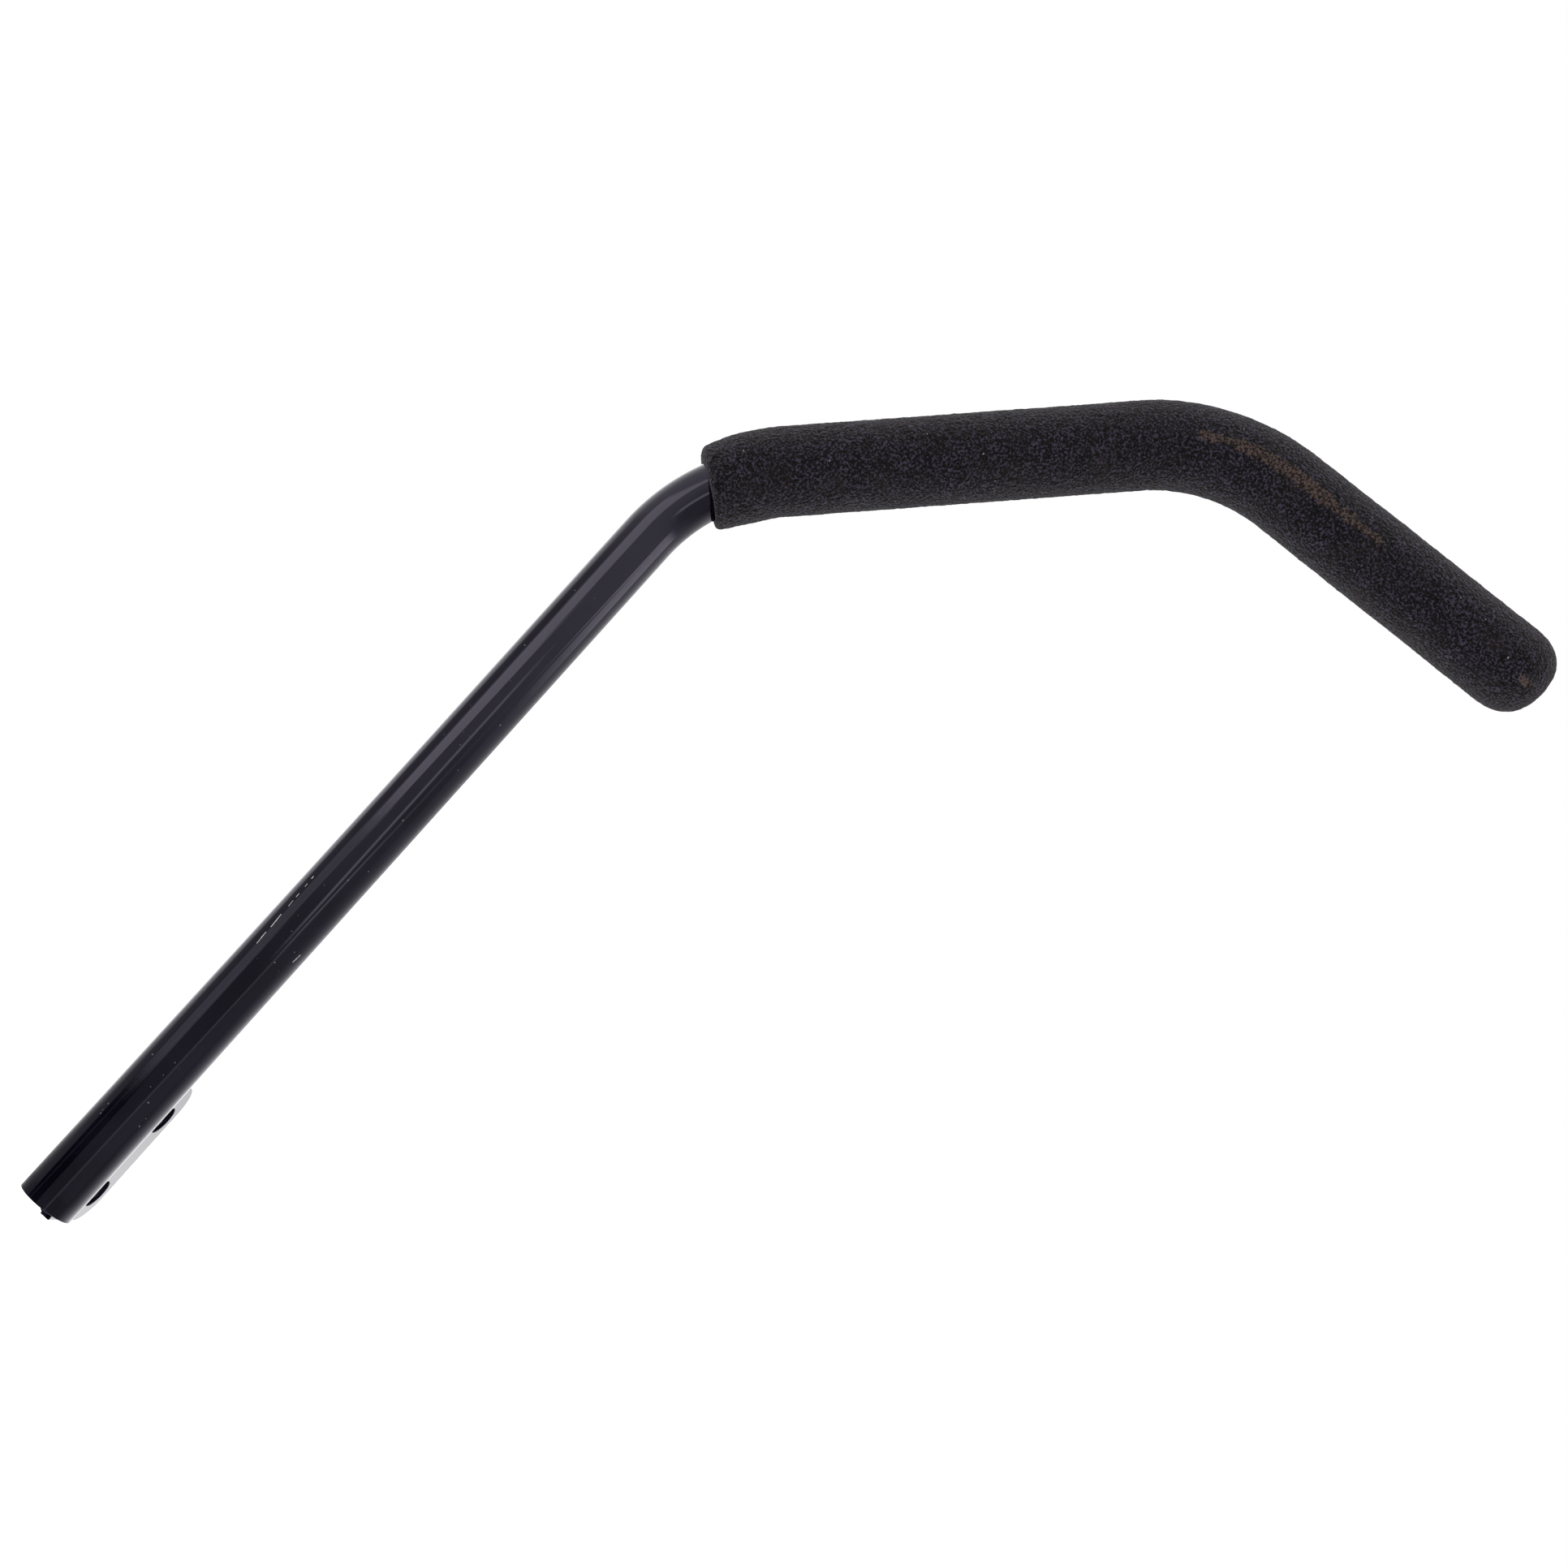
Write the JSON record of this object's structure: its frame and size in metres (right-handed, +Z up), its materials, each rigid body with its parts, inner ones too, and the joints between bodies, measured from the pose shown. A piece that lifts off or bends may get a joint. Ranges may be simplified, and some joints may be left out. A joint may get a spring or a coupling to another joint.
{
  "type": "bed assist rail",
  "caption": "Bent steel tube hand rail with a long closed-end foam grip and a flat bolt-on tab welded to the back of its foot.",
  "frame": {"origin": "midway between the two bolt holes, in the middle of the tab's thickness", "axes": "+Z up along the tube's straight leg, +X along the bolts and towards the side the tube bends to, +Y from the tube towards the tab's free edge"},
  "size_m": [0.3681, 0.0786, 0.6173],
  "materials": {
    "black_paint": "gloss black coat over steel",
    "grip_foam": "open-grained charcoal foam, matt",
    "plug_plastic": "plain moulded black"
  },
  "bodies": {
    "root": {"grip_tube": "black_paint", "mounting_tab": "black_paint", "right_weld_bead": "black_paint", "left_weld_bead": "black_paint", "foam_grip": "grip_foam", "tube_end_plug": "plug_plastic"}
  },
  "joints": []
}
